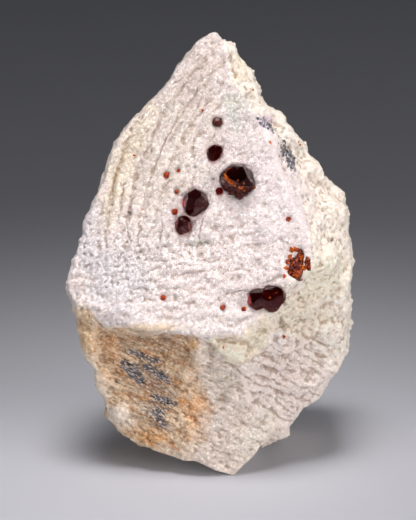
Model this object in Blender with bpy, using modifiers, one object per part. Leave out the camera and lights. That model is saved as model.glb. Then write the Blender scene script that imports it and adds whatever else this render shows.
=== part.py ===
# Garnets in matrix: a standing hand specimen of white, sugary feldspar rock with
# dark red garnet crystals, each in a socket of its own. The rock is broken on every
# side and flat where it rests. Metres, +Z up; the origin lies in the rest face, and
# the front is -Y.

import math

import bmesh
import bpy
from mathutils import Matrix, Vector, noise
from mathutils.bvhtree import BVHTree

MM = 0.001

# The front is drawn on a board that leans back. A place on it is given as across
# (to the right of the rock's front corner), up (along the board from that corner)
# and deep (behind the board, square to it), in mm.
BOARD_LEAN = math.radians(16.0)
NEAREST_MM, FARTHEST_MM = -30.0, 80.0
# The origin's place, in mm to the right of the front corner and behind it.
ORIGIN_MM = Vector((-7.0, 30.0, 0.0))

# The outline of the front, clockwise from the tip.
OUTLINE_MM = [
    (-5.5, 111.0), (-3.8, 110.3), (-3.0, 108.8), (-1.6, 109.3), (-0.4, 108.2), (1.3, 104.2),
    (3.2, 102.5), (5.2, 98.6), (6.0, 95.0), (7.6, 92.3), (11.0, 91.5), (12.3, 89.0),
    (14.8, 85.4), (17.2, 84.2), (18.2, 80.6), (20.4, 76.8), (23.6, 74.0), (27.4, 71.0),
    (28.6, 66.0), (27.9, 61.6), (29.2, 58.2), (29.2, 53.0), (28.5, 46.5), (28.9, 38.0),
    (27.6, 31.4), (24.6, 25.0), (21.2, 19.0), (17.4, 16.6), (14.2, 12.8), (13.0, 10.0),
    (10.2, 8.5), (7.4, 8.2), (4.8, 4.5), (1.0, 0.0), (-0.9, -0.9), (-4.6, 0.1),
    (-8.6, 2.3), (-13.2, 3.2), (-18.6, 4.7), (-23.8, 7.0), (-30.6, 11.6), (-32.6, 15.0),
    (-33.0, 18.0), (-34.6, 21.6), (-36.8, 28.8), (-39.6, 35.2), (-40.4, 40.6), (-40.4, 43.6),
    (-42.5, 46.8), (-41.2, 51.2), (-39.8, 56.6), (-37.6, 63.8), (-34.4, 71.0), (-31.4, 80.6),
    (-28.6, 86.8), (-24.6, 91.4), (-19.0, 96.4), (-15.4, 101.2), (-12.0, 105.4), (-8.6, 109.6),
]

# Each broken face: a place in it, the direction on the board towards which it falls
# away (0 is to the right, 90 up), and how far it is tilted from the board.
FACES_AROUND = {
    "plate": ((-12.0, 60.0, -11.4), 134.0, 9.3),
    "plate_left": ((-18.0, 75.0, -9.0), 148.0, 18.0),
    "upper_right": ((3.4, 95.4, -9.0), 28.5, 52.0),
    "middle_right": ((17.6, 61.5, -14.4), 8.0, 52.0),
    "left_corner": ((-37.0, 42.0, -9.4), 225.0, 33.0),
    "back": ((-8.0, 16.0, 55.8), 96.0, 151.0),
    "back_left": ((-38.0, 50.0, 13.0), 184.0, 124.0),
    "back_right": ((26.0, 45.0, 27.0), -10.0, 131.0),
    "back_top": ((-4.0, 100.0, 9.5), 70.0, 139.0),
    "back_low": ((-8.0, 12.0, 44.0), -100.0, 130.0),
}
# The plate's slab ends below in a ledge and a chamfer. Under these the rock is set
# back, in three faces that meet in blunt upright edges.
SLAB_ENDS = {
    "ledge": ((-14.0, 35.8, -13.6), -95.0, 77.0),
    "chamfer": ((18.5, 53.4, -15.6), -44.0, 50.0),
}
LOWER_FACES = {
    "stained": ((-11.5, 5.0, -2.0), 226.0, 21.5),
    "front": ((-1.0, 0.0, -0.7), -90.0, 16.8),
    "right": ((1.0, 3.0, -1.7), -31.0, 33.0),
}
# The lower body is a hair smaller all round, so that it shares no face with the slab.
LOWER_MIDDLE_MM = (-7.0, 50.0, 20.0)
LOWER_SHARE = 0.995
# A thinner layer that shows between the ledge and the lower faces.
LAYER_OUTLINE_MM = [
    (-9.0, 37.0), (1.0, 41.0), (8.0, 43.0), (10.2, 38.2), (9.0, 33.6), (6.4, 32.2),
    (4.6, 30.2), (1.2, 27.6), (-2.0, 29.6), (-5.2, 32.2), (-8.4, 35.0),
]
LAYER_FACE = ((1.5, 31.0, -12.2), -70.0, 9.0)
LAYER_BACK_MM = 12.0

# Knobs: the middle's place on the board, how far it stands out of the face, and
# the half sizes across, up and deep. A knob that stands out by less than nothing
# is mostly buried.
KNOBS_MM = [
    ((-1.0, 105.6), -1.2, (1.6, 3.2, 2.4)),
    ((6.0, 91.0), -1.6, (3.4, 3.0, 3.0)),
    ((12.4, 85.4), -1.6, (3.8, 3.6, 3.4)),
    ((19.4, 76.6), -2.0, (4.2, 4.4, 4.0)),
    ((24.8, 66.6), -2.2, (4.4, 5.0, 4.4)),
    ((23.0, 55.0), -2.4, (5.0, 6.0, 4.6)),
    ((26.4, 44.0), -2.2, (4.2, 4.6, 4.6)),
    ((17.4, 42.4), -1.6, (4.6, 3.6, 3.4)),
    ((23.0, 35.6), -1.8, (5.0, 3.8, 4.0)),
    ((7.2, 39.0), -1.2, (2.6, 2.4, 2.4)),
    ((7.4, 34.6), -1.0, (2.2, 2.0, 2.2)),
    ((22.0, 26.4), -1.6, (4.4, 3.4, 3.6)),
    ((8.6, 12.4), -1.8, (3.4, 3.0, 3.4)),
    ((-29.6, 16.2), -1.6, (3.2, 3.6, 3.4)),
    ((-36.6, 33.6), -0.6, (3.0, 6.0, 4.4)),
    ((-34.0, 25.0), -1.4, (2.6, 4.4, 3.4)),
]
# Hollows, given in the same way.
HOLLOWS_MM = [
    ((3.0, 97.6), 1.4, (3.0, 5.0, 2.6)),
    ((10.4, 38.6), 0.8, (1.6, 2.6, 2.4)),
    ((10.0, 34.4), 0.6, (2.8, 1.6, 1.8)),
    ((-20.0, 31.0), 1.8, (9.0, 4.6, 2.6)),
]
# Split scales: the place of the middle of the step, the direction of the step's
# line, half its length, how far back the scale runs on the line's left, and the
# height of the step.
SCALES_MM = [
    ((-25.2, 43.4), 186.0, 7.5, 7.0, 0.8),
    ((-10.2, 58.7), -3.0, 5.5, 5.0, 0.7),
    ((-13.7, 51.2), 10.0, 6.0, 4.5, 0.7),
    ((-15.5, 47.6), 8.0, 6.0, 4.0, 0.6),
    ((-9.9, 44.0), 2.0, 5.5, 3.5, 0.6),
    ((-9.5, 40.2), 6.0, 5.5, 3.5, 0.6),
    ((0.7, 39.8), 8.0, 4.5, 3.5, 0.6),
    ((-0.5, 46.8), 12.0, 4.5, 3.5, 0.6),
    ((3.0, 53.6), 15.0, 5.0, 3.5, 0.6),
    ((11.2, 60.0), 12.0, 5.0, 6.0, 0.7),
    ((-5.0, 62.8), 15.0, 5.0, 4.0, 0.5),
    ((11.0, 30.6), 6.0, 4.5, 5.0, 1.3),
    ((8.8, 27.6), -22.0, 4.5, 2.8, 1.1),
    ((12.4, 21.2), -20.0, 5.5, 4.5, 1.2),
    ((18.6, 22.0), 24.0, 4.5, 3.5, 1.0),
    ((3.0, 17.0), -26.0, 6.5, 4.0, 0.7),
    ((-11.1, 9.4), 95.0, 4.8, 7.0, 1.0),
    ((-26.0, 21.4), -28.0, 6.0, 3.5, 0.8),
    ((-20.0, 13.0), -26.0, 6.0, 3.5, 0.8),
]
# Shallow grooves in the plate's upper left, all round one far centre.
GROOVE_CENTRE_MM = (43.0, 55.0)
GROOVE_RADII_MM = [63.9, 67.1, 71.2, 76.5]
GROOVE_HALF_WIDTH_MM = 1.5
GROOVE_DEPTH_MM = 0.7
GROOVE_LOWEST_MM, GROOVE_FADE_MM = 58.0, 8.0

# How the broken surface is worked up.
REMESH_MM = 1.0
SWELL_GRAIN_MM, SWELL_HEIGHT_MM = 13.0, 2.2
LUMP_GRAIN_MM, LUMP_HEIGHT_MM = 4.6, 1.5
# The shares of the relief that the plate has, and the back of the lumps.
PLATE_SHARE, BACK_SHARE = 0.3, 0.25
# Scales and grooves lie only where the surface looks this far to the front.
LEAST_SEEN = 0.3
MATRIX_TRIANGLES = 6700

# The larger garnets are drawn as they stand in the rock: the outline of each crystal
# on the board, and its faces as a place, the direction it falls towards and its
# tilt. Depths are measured from the rock's face, and less than nothing is proud of it.
DRAWN_CRYSTALS = {
    "garnet_large": [(
        [
            (1.3, 77.9), (3.5, 76.0), (4.1, 74.7), (4.5, 73.0), (4.0, 72.0), (3.2, 71.2),
            (1.7, 70.9), (-0.3, 71.0), (-2.0, 71.2), (-3.1, 71.5), (-3.8, 72.7), (-4.4, 75.0),
            (-2.0, 77.5), (-0.5, 78.0),
        ],
        [
            ((0.1, 74.5, -4.9), 100.0, 14.0),
            ((-2.6, 74.75, -4.7), 125.0, 64.0),
            ((2.5, 74.75, -4.95), 26.0, 69.0),
            ((2.5, 74.75, -4.95), -44.0, 30.0),
            ((-2.6, 74.75, -4.7), 236.0, 49.0),
            ((-2.8, 74.75, -4.7), 200.0, 68.0),
            ((1.5, 72.25, -4.2), -75.0, 62.0),
            ((-0.5, 77.8, -1.9), 92.0, 80.0),
        ],
    )],
    "garnet_middle": [(
        [
            (-10.5, 71.95), (-8.5, 71.0), (-7.75, 70.25), (-7.2, 69.0), (-7.0, 68.0),
            (-7.55, 67.1), (-8.0, 66.0), (-9.0, 65.1), (-10.1, 64.8), (-11.25, 64.9),
            (-12.25, 65.5), (-12.9, 66.5), (-13.55, 67.5), (-13.7, 68.5), (-13.25, 69.75),
            (-12.45, 70.7), (-11.5, 71.25),
        ],
        [
            ((-10.2, 69.25, -4.1), 92.0, 40.0),
            ((-10.2, 69.25, -4.1), 215.0, 26.0),
            ((-10.2, 69.25, -4.1), -31.0, 46.0),
            ((-10.6, 67.0, -3.3), 265.0, 60.0),
            ((-10.6, 67.0, -3.3), -59.0, 63.0),
            ((-12.2, 69.9, -3.5), 174.0, 75.0),
            ((-8.8, 70.2, -3.4), 22.0, 72.0),
        ],
    )],
    "garnet_lower": [(
        [
            (-13.15, 65.3), (-12.4, 64.95), (-11.8, 64.35), (-11.5, 63.25), (-11.3, 62.25),
            (-11.4, 61.7), (-12.2, 61.2), (-13.85, 60.5), (-14.75, 61.0), (-15.15, 61.75),
            (-15.4, 63.25), (-14.95, 64.25), (-14.45, 64.85), (-13.7, 65.2),
        ],
        [
            ((-12.9, 63.25, -2.55), 30.0, 12.0),
            ((-14.1, 63.25, -2.45), 190.0, 40.0),
            ((-12.9, 64.25, -2.35), 85.0, 55.0),
            ((-13.4, 62.4, -2.45), -110.0, 45.0),
            ((-11.75, 63.0, -2.1), -5.0, 62.0),
            ((-14.9, 63.0, -1.7), 175.0, 70.0),
        ],
    )],
    "garnet_upper": [(
        [
            (-5.65, 82.95), (-5.0, 82.7), (-4.1, 82.5), (-3.5, 81.6), (-3.9, 80.9), (-4.15, 80.3),
            (-4.6, 79.6), (-5.25, 79.0), (-6.1, 78.8), (-6.7, 79.1), (-7.15, 79.8), (-7.45, 80.35),
            (-7.45, 80.9), (-7.15, 81.85), (-6.4, 82.5),
        ],
        [
            ((-5.45, 81.05, -2.3), 130.0, 38.0),
            ((-5.45, 81.05, -2.3), 50.0, 38.0),
            ((-5.45, 81.05, -2.3), 225.0, 28.0),
            ((-5.45, 81.05, -2.3), -50.0, 32.0),
            ((-7.05, 80.75, -1.4), 180.0, 65.0),
            ((-3.9, 81.5, -1.3), 10.0, 65.0),
            ((-5.75, 79.1, -1.3), -95.0, 65.0),
        ],
    )],
    "garnet_pair": [
        (
            [
                (7.45, 48.0), (8.8, 47.7), (10.4, 47.45), (11.6, 46.35), (12.0, 45.5),
                (11.6, 44.1), (10.4, 42.4), (9.7, 41.45), (8.8, 41.3), (7.8, 41.45), (7.1, 42.2),
                (6.4, 42.9), (6.1, 43.75), (6.1, 46.5), (6.75, 47.2),
            ],
            [
                ((8.7, 45.2, -3.35), 42.0, 30.0),
                ((8.7, 45.2, -3.35), 150.0, 26.0),
                ((8.25, 47.4, -1.9), 105.0, 66.0),
                ((9.1, 44.5, -3.25), -30.0, 42.0),
                ((8.6, 44.1, -3.25), -95.0, 42.0),
                ((7.25, 44.0, -2.9), 215.0, 45.0),
                ((11.5, 45.25, -1.6), 5.0, 70.0),
            ],
        ),
        (
            [
                (3.15, 46.5), (3.65, 46.85), (5.2, 47.1), (6.25, 46.95), (6.75, 46.25),
                (6.75, 42.75), (6.1, 42.05), (4.7, 41.8), (3.8, 42.4), (3.0, 43.25), (2.45, 43.75),
                (2.7, 45.1),
            ],
            [
                ((4.75, 45.0, -2.7), 150.0, 20.0),
                ((5.0, 44.0, -2.55), -66.0, 50.0),
                ((4.75, 46.4, -2.0), 100.0, 65.0),
                ((2.95, 45.0, -1.6), 190.0, 65.0),
            ],
        ),
    ],
    # This one broke as the rock was split: only its largest shard is left.
    "garnet_broken": [(
        [
            (15.2, 56.3), (15.9, 57.0), (16.5, 55.5), (16.2, 53.1), (16.3, 51.5), (15.5, 49.2),
            (14.7, 49.2), (12.3, 50.8), (12.9, 52.9), (14.0, 54.2), (14.9, 55.6),
        ],
        [
            ((14.6, 52.6, -0.8), 196.0, 20.0),
            ((15.2, 52.4, -0.8), 14.0, 27.0),
            ((14.4, 51.2, -0.7), -80.0, 24.0),
            ((15.6, 55.0, -0.5), 75.0, 22.0),
        ],
    )],
}
DRAWN_FRONT_MM, DRAWN_BACK_MM = -8.0, 2.5
# Flakes that lie beside the shard, as rough balls with a place, how deep the middle
# lies, the half sizes, and the tilt.
FLAKES_MM = {
    "garnet_broken": [
        ((17.5, 53.3), 0.1, (0.85, 1.7, 0.8), 12.0),
        ((16.6, 53.0), 0.9, (1.3, 0.9, 0.7), 0.0),
        ((13.2, 54.1), 0.2, (1.4, 0.55, 0.6), 14.0),
        ((15.0, 56.8), 0.2, (1.2, 0.5, 0.6), 4.0),
    ],
}
# The smaller crystals have their full form. Each has a place on the board, a width,
# how far its middle stands proud of the rock as a share of the width, and its turns.
# Unturned, the blunt corner where three of its faces meet looks straight ahead; the
# turns tip it up, to the right and round.
SMALL_CRYSTALS = {
    "garnet_large": [
        ((0.5, 70.6), 2.9, 0.22, (31.0, -3.0, 61.0)),
        ((-1.2, 71.2), 1.9, 0.25, (12.0, 31.0, 10.0)),
        ((1.8, 70.9), 2.1, 0.22, (33.0, 8.0, 25.0)),
    ],
    "garnet_top": [((-4.9, 88.6), 2.5, 0.10, (0.0, 12.0, 25.0))],
    "garnet_bead_1": [((-4.4, 71.3), 1.75, 0.10, (12.0, 0.0, 30.0))],
    "garnet_bead_2": [((-15.5, 66.2), 1.4, 0.10, (40.0, 10.0, 0.0))],
    "garnet_bead_3": [((-17.6, 75.4), 1.4, 0.10, (5.0, 33.0, 12.0))],
    "garnet_bead_4": [((-18.4, 44.9), 1.25, 0.08, (25.0, 3.0, 48.0))],
    "garnet_bead_5": [((-3.6, 42.5), 1.2, 0.08, (17.0, 22.0, 5.0))],
    "garnet_bead_6": [((1.6, 42.1), 1.1, 0.08, (8.0, 41.0, 33.0))],
    "garnet_bead_7": [((12.7, 64.4), 1.1, 0.08, (31.0, 15.0, 9.0))],
    "garnet_bead_8": [((-15.1, 71.2), 0.9, 0.06, (3.0, 9.0, 44.0))],
    "garnet_bead_9": [((-14.6, 76.5), 0.8, 0.06, (22.0, 36.0, 2.0))],
}
# How far the two kinds of face lie from a crystal's middle, as shares of its half
# width, and how unequal they are. A small bead shows the dodecahedron alone.
LOZENGE_SHARE, KITE_SHARE, UNEVENNESS = 0.95, 0.98, 0.10
BEAD_WIDTH_MM = 2.0
# A socket is wider than its crystal all round by this share, and by this at least.
SOCKET_SHARE = 0.02
SOCKET_LEAST_MM = 0.06


def on_board(across, up, deep=0.0):
    # The place, in metres, of a point that is drawn on the leaning board.
    sine, cosine = math.sin(BOARD_LEAN), math.cos(BOARD_LEAN)
    place = Vector((across, up * sine + deep * cosine, up * cosine - deep * sine))
    return (place - ORIGIN_MM) * MM


def board_turn():
    # Turns a flat shape drawn in X and Y onto the board, its Z to the front.
    return Matrix.Rotation(math.radians(90.0) - BOARD_LEAN, 4, "X")


def board_place(point):
    # The opposite of on_board: across, up and deep of a place in metres.
    place = point / MM + ORIGIN_MM
    sine, cosine = math.sin(BOARD_LEAN), math.cos(BOARD_LEAN)
    return place.x, place.y * sine + place.z * cosine, place.y * cosine - place.z * sine


def facing(towards_deg, tilt_deg):
    # The outward direction of a face that falls away that way, tilted so far.
    towards, tilt = math.radians(towards_deg), math.radians(tilt_deg)
    on_flat = Vector((
        math.cos(towards) * math.sin(tilt),
        math.sin(towards) * math.sin(tilt),
        math.cos(tilt),
    ))
    return board_turn().to_3x3() @ on_flat


def cut_flat(bm, point, outward):
    # Takes away all that lies outside a plane, and closes the cut.
    everything = bm.verts[:] + bm.edges[:] + bm.faces[:]
    cut = bmesh.ops.bisect_plane(
        bm, geom=everything, dist=1e-7, plane_co=point, plane_no=outward, clear_outer=True
    )
    rim = [item for item in cut["geom_cut"] if isinstance(item, bmesh.types.BMEdge)]
    bmesh.ops.holes_fill(bm, edges=rim, sides=0)


def cut_faces(shape, faces):
    # Breaks the shape off at each of these faces.
    bm = bmesh.new()
    bm.from_mesh(shape.data)
    for point, towards, tilt in faces:
        cut_flat(bm, on_board(*point), facing(towards, tilt))
    bm.to_mesh(shape.data)
    bm.free()


def new_object(name, mesh, collection):
    shape = bpy.data.objects.new(name, mesh)
    collection.objects.link(shape)
    return shape


def object_from(bm, name, collection):
    # An object with this closed shape, its faces pointing outwards.
    bmesh.ops.recalc_face_normals(bm, faces=bm.faces[:])
    if bm.calc_volume(signed=True) < 0.0:
        bmesh.ops.reverse_faces(bm, faces=bm.faces[:])
    mesh = bpy.data.meshes.new(name)
    bm.to_mesh(mesh)
    bm.free()
    return new_object(name, mesh, collection)


def evaluated_mesh(shape):
    graph = bpy.context.evaluated_depsgraph_get()
    return bpy.data.meshes.new_from_object(shape.evaluated_get(graph))


def apply_modifiers(shape):
    # Replaces the object's mesh by what its modifiers make of it.
    finished = evaluated_mesh(shape)
    shape.modifiers.clear()
    shape.data = finished


def boolean(shape, other, operation):
    # Joins the other shape to this one, or cuts it out, and removes the other.
    modifier = shape.modifiers.new(operation.lower(), "BOOLEAN")
    modifier.operation = operation
    modifier.object = other
    bpy.context.view_layer.update()
    apply_modifiers(shape)
    bpy.data.objects.remove(other)


def slab(name, outline, near, far, collection):
    # A solid with this outline on the board, from one depth to another.
    drawing = bpy.data.curves.new(name, "CURVE")
    drawing.dimensions = "2D"
    drawing.fill_mode = "BOTH"
    drawing.extrude = (far - near) / 2.0 * MM
    line = drawing.splines.new("POLY")
    line.points.add(len(outline) - 1)
    for point, (across, up) in zip(line.points, outline):
        point.co = (across * MM, up * MM, 0.0, 1.0)
    line.use_cyclic_u = True
    drawn = new_object(name + "_outline", drawing, collection)
    drawn.matrix_world = Matrix.Translation(on_board(0.0, 0.0, (near + far) / 2.0)) @ board_turn()
    bpy.context.view_layer.update()
    bm = bmesh.new()
    bm.from_mesh(evaluated_mesh(drawn))
    bmesh.ops.remove_doubles(bm, verts=bm.verts[:], dist=1e-6)
    bm.transform(drawn.matrix_world)
    for face in bm.faces:
        face.smooth = False
    bpy.data.objects.remove(drawn)
    return object_from(bm, name, collection)


def surface_at(tree, across, up):
    # Where a straight line into the board meets the rock, and the slope there.
    start = on_board(across, up, NEAREST_MM)
    ahead = (on_board(across, up, FARTHEST_MM) - start).normalized()
    place, slope, _, _ = tree.ray_cast(start, ahead)
    return place, slope


def surface_tree(shape):
    return BVHTree.FromObject(shape, bpy.context.evaluated_depsgraph_get())


def rough_ball(middle, half_sizes, unevenness, detail, tilt_deg, collection):
    # An uneven ball, flattened to its half sizes across, up and deep.
    across, up, deep = (half * MM for half in half_sizes)
    bm = bmesh.new()
    bmesh.ops.create_icosphere(bm, subdivisions=detail, radius=1.0)
    for vert in bm.verts:
        swell = 1.0 + unevenness * noise.noise(vert.co * 1.9 + middle * 400.0)
        vert.co = Vector((vert.co.x * across, vert.co.y * up, vert.co.z * deep)) * swell
    tilt = Matrix.Rotation(math.radians(tilt_deg), 4, "Z")
    bm.transform(Matrix.Translation(middle) @ board_turn() @ tilt)
    return object_from(bm, "ball", collection)


def add_balls(rock, balls, operation, collection):
    # Joins knobs to the rock's face, or scoops hollows out of it.
    for (across, up), stands_out, half_sizes in balls:
        place, slope = surface_at(surface_tree(rock), across, up)
        middle = place + slope * stands_out * MM
        boolean(rock, rough_ball(middle, half_sizes, 0.22, 3, 0.0, collection), operation)


def rough_block(collection):
    # The rock's main form: a slab with a plate in front, set on a lower body.
    rock = slab("matrix", OUTLINE_MM, NEAREST_MM, FARTHEST_MM, collection)
    cut_faces(rock, FACES_AROUND.values())
    lower = new_object("lower", rock.data.copy(), collection)
    middle = Matrix.Translation(on_board(*LOWER_MIDDLE_MM))
    lower.data.transform(middle @ Matrix.Scale(LOWER_SHARE, 4) @ middle.inverted())
    cut_faces(lower, LOWER_FACES.values())
    cut_faces(rock, SLAB_ENDS.values())
    boolean(rock, lower, "UNION")
    layer = slab("layer", LAYER_OUTLINE_MM, NEAREST_MM, LAYER_BACK_MM, collection)
    cut_faces(layer, [LAYER_FACE])
    boolean(rock, layer, "UNION")
    return rock


def plate_weight(vert):
    # 1 on the plate, where the rock split clean, falling to 0 beside it.
    weight = 0.0
    for name in ("plate", "plate_left"):
        point, towards, tilt = FACES_AROUND[name]
        outward = facing(towards, tilt)
        away = abs((on_board(*point) - vert.co).dot(outward)) / MM
        nearness = max(0.0, min(1.0, 2.0 - away))
        weight = max(weight, nearness * vert.normal.dot(outward))
    return weight


def scale_height(across, up):
    # How far the split scales raise the surface here, in mm.
    raised = 0.0
    for (middle_across, middle_up), line_deg, half_length, reach, height in SCALES_MM:
        line = math.radians(line_deg)
        east, north = across - middle_across, up - middle_up
        along = (east * math.cos(line) + north * math.sin(line)) / half_length
        back = (north * math.cos(line) - east * math.sin(line)) / reach
        if abs(along) < 1.0 and 0.0 <= back < 1.0:
            raised = max(raised, height * (1.0 - along * along) * (1.0 - back))
    return raised


def groove_depth(across, up):
    # How deep the plate's grooves are here, in mm.
    radius = math.hypot(across - GROOVE_CENTRE_MM[0], up - GROOVE_CENTRE_MM[1])
    if across > GROOVE_CENTRE_MM[0]:
        return 0.0
    nearest = min(abs(radius - groove) for groove in GROOVE_RADII_MM)
    across_it = max(0.0, 1.0 - nearest / GROOVE_HALF_WIDTH_MM)
    along_it = max(0.0, min(1.0, (up - GROOVE_LOWEST_MM) / GROOVE_FADE_MM))
    return GROOVE_DEPTH_MM * across_it * along_it


def relief(shape, name, kind, grain_mm, height_mm, weights):
    # Raises and sinks the surface by a texture of this grain and height, as far as
    # each corner's weight allows.
    group = shape.vertex_groups.new(name=name)
    for vert, weight in zip(shape.data.vertices, weights):
        group.add([vert.index], weight, "REPLACE")
    texture = bpy.data.textures.new(name, kind)
    texture.noise_scale = grain_mm * MM
    modifier = shape.modifiers.new(name, "DISPLACE")
    modifier.texture = texture
    modifier.texture_coords = "LOCAL"
    modifier.strength = height_mm * MM
    modifier.mid_level = 0.5
    modifier.vertex_group = name


def work_surface(rock):
    # Gives the plain block the swells, lumps, scales and grooves of broken rock.
    remesh = rock.modifiers.new("even mesh", "REMESH")
    remesh.mode = "VOXEL"
    remesh.voxel_size = REMESH_MM * MM
    soften = rock.modifiers.new("worn edges", "SMOOTH")
    soften.factor = 0.5
    soften.iterations = 2
    apply_modifiers(rock)

    ahead = facing(0.0, 0.0)
    swells, lumps = [], []
    for vert in rock.data.vertices:
        broken = 1.0 - (1.0 - PLATE_SHARE) * plate_weight(vert)
        behind = max(0.0, min(1.0, -2.0 * vert.normal.dot(ahead)))
        swells.append(broken)
        lumps.append(broken * (1.0 - (1.0 - BACK_SHARE) * behind))
    relief(rock, "swells", "CLOUDS", SWELL_GRAIN_MM, SWELL_HEIGHT_MM, swells)
    relief(rock, "lumps", "VORONOI", LUMP_GRAIN_MM, -LUMP_HEIGHT_MM, lumps)
    apply_modifiers(rock)
    rock.vertex_groups.clear()

    normals = [vert.normal.copy() for vert in rock.data.vertices]
    for vert, normal in zip(rock.data.vertices, normals):
        if normal.dot(ahead) > LEAST_SEEN:
            across, up, _ = board_place(vert.co)
            vert.co += normal * (scale_height(across, up) - groove_depth(across, up)) * MM


def make_matrix(collection):
    # The whole rock, without its sockets.
    rock = rough_block(collection)
    add_balls(rock, KNOBS_MM, "UNION", collection)
    add_balls(rock, HOLLOWS_MM, "DIFFERENCE", collection)
    work_surface(rock)
    thin = rock.modifiers.new("fewer faces", "DECIMATE")
    thin.ratio = MATRIX_TRIANGLES / (2.0 * len(rock.data.polygons))
    apply_modifiers(rock)
    bm = bmesh.new()
    bm.from_mesh(rock.data)
    cut_flat(bm, Vector((0.0, 0.0, 0.0)), Vector((0.0, 0.0, -1.0)))
    bm.to_mesh(rock.data)
    bm.free()
    return rock


def habit_faces():
    # A garnet's face directions: the 24 of the trapezohedron and the 12 of the
    # dodecahedron.
    kites, lozenges = [], []
    signs = (-1.0, 1.0)
    for axis in range(3):
        for a in signs:
            for b in signs:
                lozenge = [a, a, a]
                lozenge[axis] = 0.0
                lozenge[(axis + 2) % 3] = b
                lozenges.append(Vector(lozenge).normalized())
                for c in signs:
                    kite = [c, c, c]
                    kite[axis] = 2.0 * a
                    kite[(axis + 1) % 3] = b
                    kites.append(Vector(kite).normalized())
    return kites, lozenges


def crystal_turn(tip_up, to_right, roll):
    # Stands a crystal on the board with its blunt corner forward, then turns it.
    corner = Vector((1.0, 1.0, 1.0)).normalized()
    upward = Vector((1.0, 1.0, -2.0)).normalized()
    corner_forward = Matrix((upward.cross(corner), upward, corner)).to_4x4()
    rolled = Matrix.Rotation(math.radians(roll), 4, "Z") @ corner_forward
    tipped = Matrix.Rotation(math.radians(-tip_up), 4, "X") @ rolled
    return board_turn() @ Matrix.Rotation(math.radians(to_right), 4, "Y") @ tipped


def small_crystal(middle, width, turns, collection):
    # One crystal, its faces a little unequal, as grown ones are.
    kites, lozenges = habit_faces()
    reach = width / 2.0 * MM
    bm = bmesh.new()
    bmesh.ops.create_cube(bm, size=3.0 * reach)
    faces = [(outward, LOZENGE_SHARE) for outward in lozenges]
    if width > BEAD_WIDTH_MM:
        faces += [(outward, KITE_SHARE) for outward in kites]
    for outward, share in faces:
        uneven = 1.0 + UNEVENNESS * noise.noise(outward * 3.1 + middle * 900.0)
        cut_flat(bm, outward * reach * share * uneven, outward)
    bm.transform(Matrix.Translation(middle) @ crystal_turn(*turns))
    return object_from(bm, "crystal", collection)


def drawn_crystal(outline, faces, tree, collection):
    # A crystal as it is drawn on the board, set at the depth of the rock's face.
    middle = sum((Vector(point) for point in outline), Vector((0.0, 0.0))) / len(outline)
    place, _ = surface_at(tree, *middle)
    depth = board_place(place)[2]
    shape = slab("crystal", outline, depth + DRAWN_FRONT_MM, depth + DRAWN_BACK_MM, collection)
    lowered = [((across, up, depth + deep), *turn) for (across, up, deep), *turn in faces]
    cut_faces(shape, lowered)
    return shape


def grown_copy(shape, collection):
    # The socket for a shape: a copy that is a little larger about its own middle.
    copy = new_object("socket", shape.data.copy(), collection)
    corners = [vert.co for vert in copy.data.vertices]
    centre = sum(corners, Vector()) / len(corners)
    nearest = min((corner - centre).length for corner in corners)
    growth = 1.0 + max(SOCKET_SHARE, SOCKET_LEAST_MM * MM / nearest)
    middle = Matrix.Translation(centre)
    copy.data.transform(middle @ Matrix.Scale(growth, 4) @ middle.inverted())
    return copy


def join_all(shapes, name):
    # One solid from shapes that overlap.
    first = shapes[0]
    for other in shapes[1:]:
        boolean(first, other, "UNION")
    first.name = name
    first.data.name = name
    return first


def make_garnet(name, tree, collection):
    # A garnet, and the sockets that its crystals and flakes need.
    shapes = []
    for outline, faces in DRAWN_CRYSTALS.get(name, []):
        shapes.append(drawn_crystal(outline, faces, tree, collection))
    outward = facing(*FACES_AROUND["plate"][1:])
    for (across, up), width, proud, turns in SMALL_CRYSTALS.get(name, []):
        place, _ = surface_at(tree, across, up)
        middle = place + outward * proud * width * MM
        shapes.append(small_crystal(middle, width, turns, collection))
    for (across, up), deep, half_sizes, tilt_deg in FLAKES_MM.get(name, []):
        place, _ = surface_at(tree, across, up)
        middle = place - facing(0.0, 0.0) * deep * MM
        shapes.append(rough_ball(middle, half_sizes, 0.5, 2, tilt_deg, collection))
    sockets = [grown_copy(shape, collection) for shape in shapes]
    return join_all(shapes, name), sockets


def make_material(name, colour, roughness):
    material = bpy.data.materials.new(name)
    material.use_nodes = True
    surface = material.node_tree.nodes["Principled BSDF"]
    surface.inputs["Base Color"].default_value = (*colour, 1.0)
    surface.inputs["Roughness"].default_value = roughness
    surface.inputs["Metallic"].default_value = 0.0
    material.diffuse_color = (*colour, 1.0)
    return material


def main():
    for leftover in list(bpy.data.objects):
        bpy.data.objects.remove(leftover)
    specimen = bpy.data.collections.new("garnets_in_matrix")
    bpy.context.scene.collection.children.link(specimen)

    rock = make_matrix(specimen)
    tree = surface_tree(rock)
    names = list(DRAWN_CRYSTALS) + [name for name in SMALL_CRYSTALS if name not in DRAWN_CRYSTALS]
    made = [make_garnet(name, tree, specimen) for name in names]
    for _, sockets in made:
        for socket in sockets:
            boolean(rock, socket, "DIFFERENCE")

    white_rock = make_material("white feldspar rock", (0.74, 0.67, 0.61), 0.8)
    dark_red = make_material("dark red garnet", (0.09, 0.008, 0.008), 0.15)
    rock.data.materials.clear()
    rock.data.materials.append(white_rock)
    for garnet, _ in made:
        garnet.data.materials.clear()
        garnet.data.materials.append(dark_red)


main()
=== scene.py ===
# The looks of a hand specimen: a standing splinter of white, sugary feldspar rock with
# dark red garnet crystals in its leaning front.
import math

import bpy
import numpy as np
from mathutils import Matrix, Vector, noise
from mathutils.bvhtree import BVHTree


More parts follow.
